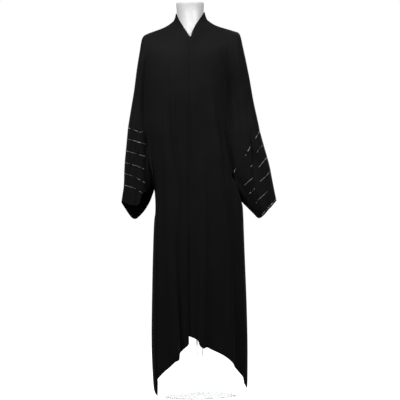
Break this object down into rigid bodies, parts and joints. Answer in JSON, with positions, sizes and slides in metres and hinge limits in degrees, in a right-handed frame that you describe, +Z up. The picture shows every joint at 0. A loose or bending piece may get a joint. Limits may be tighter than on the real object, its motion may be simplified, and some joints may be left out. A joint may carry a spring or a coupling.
{
  "type": "batwing kaftan on dress form",
  "caption": "Black open-front batwing kaftan, lapped and closed, with beaded sleeve bands and a pointed hem, on a limbless dress form with pole and round base.",
  "frame": {"origin": "centre of the base's flat underside, on the floor", "axes": "+Z up along the pole, -Y towards the front of the garment, +X towards the viewer's right"},
  "size_m": [0.6194, 0.28, 1.579],
  "materials": {
    "cloth": "matte black crepe with a soft sheen",
    "sleeve_cloth": "matte black crepe with lines of small silver beads",
    "form_shell": "smooth glossy white",
    "stand_clear": "clear polished acrylic"
  },
  "bodies": {
    "root": {"neck_band": "cloth", "front_right": "cloth", "front_left": "cloth", "back": "cloth", "sleeve_left": "sleeve_cloth", "sleeve_right": "sleeve_cloth", "dress_form": "form_shell", "stand_pole": "stand_clear", "stand_base": "stand_clear"}
  },
  "joints": []
}
